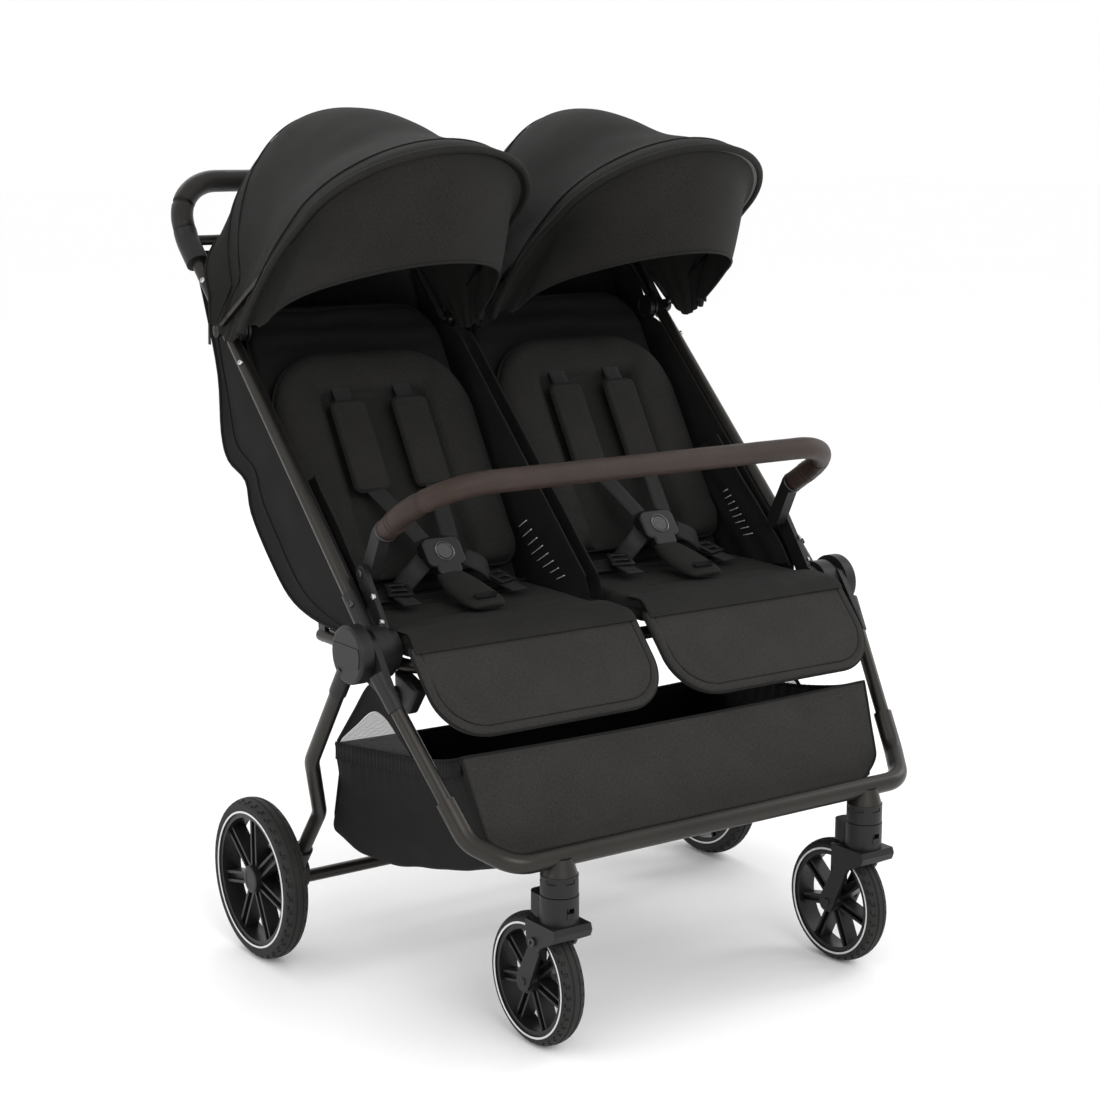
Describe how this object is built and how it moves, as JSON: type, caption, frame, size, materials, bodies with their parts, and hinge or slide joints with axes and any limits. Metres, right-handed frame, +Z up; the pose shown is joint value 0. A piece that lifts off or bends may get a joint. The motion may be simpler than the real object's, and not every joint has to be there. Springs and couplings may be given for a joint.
{
  "type": "double stroller",
  "caption": "Side by side folding double stroller with twin canopies, padded seats, bumper bar, basket and swivel front casters.",
  "frame": {"origin": "on the floor, in the middle plane, halfway between the front and rear wheel axles", "axes": "+X across to the child's left, -Y to the front, +Z up"},
  "size_m": [0.7466, 0.7488, 1.0359],
  "materials": {
    "satin_bronze": "satin dark bronze paint",
    "black_plastic": "moulded black plastic, fine grain",
    "steel": "bright steel",
    "charcoal_cloth": "near-black heather twill",
    "black_cloth": "black plain weave",
    "brown_leather": "stitched brown leather",
    "dark_leather": "stitched dark brown leather",
    "tyre": "black tread rubber",
    "rim": "black moulded rim",
    "webbing": "black webbing"
  },
  "bodies": {
    "chassis": {"front_bar": "satin_bronze", "front_leg_tubes": "satin_bronze", "front_leg_sockets": "black_plastic", "caster_sockets": "black_plastic", "seat_frame": "black_plastic", "hub_brackets": "black_plastic", "seat_base_left": "charcoal_cloth", "seat_base_right": "charcoal_cloth", "basket": "black_cloth", "basket_front_panel": "charcoal_cloth", "buckle_left": "black_plastic", "buckle_right": "black_plastic", "crotch_pads": "charcoal_cloth"},
    "push_assembly": {"push_frame": "satin_bronze", "handle_grip": "dark_leather", "handle_collars": "black_plastic", "fold_housing": "black_plastic", "push_sleeves": "black_plastic", "canopy_mounts": "black_plastic", "canopy_shell_left": "charcoal_cloth", "canopy_shell_right": "charcoal_cloth", "canopy_extension_left": "charcoal_cloth", "canopy_extension_right": "charcoal_cloth", "seat_shells": "black_cloth"},
    "rear_leg_assembly": {"rear_legs": "satin_bronze", "hub_discs": "black_plastic", "axle_housings": "black_plastic", "rear_axle": "steel"},
    "bumper": {"bumper_bar": "brown_leather", "bumper_links": "black_plastic"},
    "fold_slider": {"fold_button": "black_plastic"},
    "pedal": {"brake_pedal": "black_plastic"},
    "canopy_front_left": {"canopy_bow_left": "satin_bronze"},
    "buckle_press_left": {"buckle_button_left": "black_plastic"},
    "back_left": {"backrest_left": "charcoal_cloth", "shoulder_pads_left": "charcoal_cloth", "harness_straps_left": "webbing"},
    "calf_left": {"calf_rest_left": "charcoal_cloth"},
    "caster_left": {"caster_yoke_left": "black_plastic"},
    "swivel_slider_left": {"swivel_lock_left": "black_plastic"},
    "fork_left": {"fork_arm_left": "black_plastic"},
    "front_wheel_left": {"front_tyre_left": "tyre", "front_rim_left": "rim"},
    "rear_wheel_left": {"rear_tyre_left": "tyre", "rear_rim_left": "rim"},
    "brake_bolt_left": {"brake_pin_left": "steel"},
    "canopy_front_right": {"canopy_bow_right": "satin_bronze"},
    "buckle_press_right": {"buckle_button_right": "black_plastic"},
    "back_right": {"backrest_right": "charcoal_cloth", "shoulder_pads_right": "charcoal_cloth", "harness_straps_right": "webbing"},
    "calf_right": {"calf_rest_right": "charcoal_cloth"},
    "caster_right": {"caster_yoke_right": "black_plastic"},
    "swivel_slider_right": {"swivel_lock_right": "black_plastic"},
    "fork_right": {"fork_arm_right": "black_plastic"},
    "front_wheel_right": {"front_tyre_right": "tyre", "front_rim_right": "rim"},
    "rear_wheel_right": {"rear_tyre_right": "tyre", "rear_rim_right": "rim"},
    "brake_bolt_right": {"brake_pin_right": "steel"}
  },
  "joints": [
    {"name": "upper_fold", "type": "hinge", "parent": "chassis", "child": "push_assembly", "pos_m": [0, -0.0395, 0.436], "axis": [1, 0, 0], "range_deg": [0, 158], "deforming": ["seat_shells"]},
    {"name": "rear_leg_fold", "type": "hinge", "parent": "chassis", "child": "rear_leg_assembly", "pos_m": [0, -0.0395, 0.436], "axis": [1, 0, 0], "range_deg": [-48.1, 0]},
    {"name": "bumper_fold", "type": "hinge", "parent": "chassis", "child": "bumper", "pos_m": [0, 0.0125, 0.515], "axis": [1, 0, 0], "range_deg": [0, 33.1]},
    {"name": "fold_release_slide", "type": "slide", "parent": "push_assembly", "child": "fold_slider", "axis": [1, 0, 0], "range_m": [0, 0.008], "stiffness_N_per_m": 300, "springref_m": -0.003},
    {"name": "canopy_left_fold", "type": "hinge", "parent": "push_assembly", "child": "canopy_front_left", "pos_m": [-0.1815, 0.30122, 0.772], "axis": [-1, 0, 0], "range_deg": [0, 75], "deforming": ["canopy_shell_left", "canopy_extension_left"]},
    {"name": "buckle_left_press", "type": "slide", "parent": "chassis", "child": "buckle_press_left", "axis": [0, 0.788, -0.6157], "range_m": [0, 0.003], "stiffness_N_per_m": 500, "springref_m": -0.002},
    {"name": "backrest_left_recline", "type": "hinge", "parent": "chassis", "child": "back_left", "pos_m": [-0.165, 0.132, 0.451], "axis": [-1, 0, 0], "range_deg": [-20, 30], "deforming": ["harness_straps_left"]},
    {"name": "calf_rest_left_raise", "type": "hinge", "parent": "chassis", "child": "calf_left", "pos_m": [-0.1646, -0.0885, 0.446], "axis": [-1, 0, 0], "range_deg": [0, 48]},
    {"name": "caster_left_swivel", "type": "hinge", "parent": "chassis", "child": "caster_left", "pos_m": [-0.228, -0.2494, 0.2], "axis": [0, 0, 1], "continuous": true},
    {"name": "swivel_lock_left_slide", "type": "slide", "parent": "caster_left", "child": "swivel_slider_left", "axis": [0, 0, 1], "range_m": [0, 0.005]},
    {"name": "fork_left_suspension", "type": "hinge", "parent": "caster_left", "child": "fork_left", "pos_m": [-0.228, -0.236, 0.1335], "axis": [1, 0, 0], "range_deg": [0, 6], "stiffness_Nm_per_rad": 30, "springref_deg": -6.88},
    {"name": "front_wheel_left_spin", "type": "hinge", "parent": "fork_left", "child": "front_wheel_left", "pos_m": [-0.228, -0.208, 0.0768], "axis": [1, 0, 0], "continuous": true},
    {"name": "rear_wheel_left_spin", "type": "hinge", "parent": "rear_leg_assembly", "child": "rear_wheel_left", "pos_m": [-0.3565, 0.208, 0.1012], "axis": [1, 0, 0], "continuous": true},
    {"name": "brake_pin_left_slide", "type": "slide", "parent": "rear_leg_assembly", "child": "brake_bolt_left", "axis": [-1, 0, 0], "range_m": [0, 0.00501]},
    {"name": "canopy_right_fold", "type": "hinge", "parent": "push_assembly", "child": "canopy_front_right", "pos_m": [0.1815, 0.30122, 0.772], "axis": [-1, 0, 0], "range_deg": [0, 75], "deforming": ["canopy_shell_right", "canopy_extension_right"]},
    {"name": "buckle_right_press", "type": "slide", "parent": "chassis", "child": "buckle_press_right", "axis": [0, 0.788, -0.6157], "range_m": [0, 0.003], "stiffness_N_per_m": 500, "springref_m": -0.002},
    {"name": "backrest_right_recline", "type": "hinge", "parent": "chassis", "child": "back_right", "pos_m": [0.165, 0.132, 0.451], "axis": [-1, 0, 0], "range_deg": [-20, 30], "deforming": ["harness_straps_right"]},
    {"name": "calf_rest_right_raise", "type": "hinge", "parent": "chassis", "child": "calf_right", "pos_m": [0.1646, -0.0885, 0.446], "axis": [-1, 0, 0], "range_deg": [0, 48]},
    {"name": "caster_right_swivel", "type": "hinge", "parent": "chassis", "child": "caster_right", "pos_m": [0.228, -0.2494, 0.2], "axis": [0, 0, 1], "continuous": true},
    {"name": "swivel_lock_right_slide", "type": "slide", "parent": "caster_right", "child": "swivel_slider_right", "axis": [0, 0, 1], "range_m": [0, 0.005]},
    {"name": "fork_right_suspension", "type": "hinge", "parent": "caster_right", "child": "fork_right", "pos_m": [0.228, -0.236, 0.1335], "axis": [1, 0, 0], "range_deg": [0, 6], "stiffness_Nm_per_rad": 30, "springref_deg": -6.88},
    {"name": "front_wheel_right_spin", "type": "hinge", "parent": "fork_right", "child": "front_wheel_right", "pos_m": [0.228, -0.208, 0.0768], "axis": [1, 0, 0], "continuous": true},
    {"name": "rear_wheel_right_spin", "type": "hinge", "parent": "rear_leg_assembly", "child": "rear_wheel_right", "pos_m": [0.3565, 0.208, 0.1012], "axis": [1, 0, 0], "continuous": true},
    {"name": "brake_pin_right_slide", "type": "slide", "parent": "rear_leg_assembly", "child": "brake_bolt_right", "axis": [1, 0, 0], "range_m": [0, 0.00501]},
    {"name": "brake_pedal_press", "type": "hinge", "parent": "rear_leg_assembly", "child": "pedal", "pos_m": [0.261, 0.208, 0.09], "axis": [-1, 0, 0], "range_deg": [0, 20]}
  ],
  "couplings": [
    {"joint": "rear_leg_fold", "follows": "upper_fold", "ratio": -0.3038},
    {"joint": "bumper_fold", "follows": "upper_fold", "ratio": 0.20886},
    {"joint": "brake_pin_left_slide", "follows": "brake_pedal_press", "m_per_rad": 0.014324},
    {"joint": "brake_pin_right_slide", "follows": "brake_pedal_press", "m_per_rad": 0.014324}
  ]
}
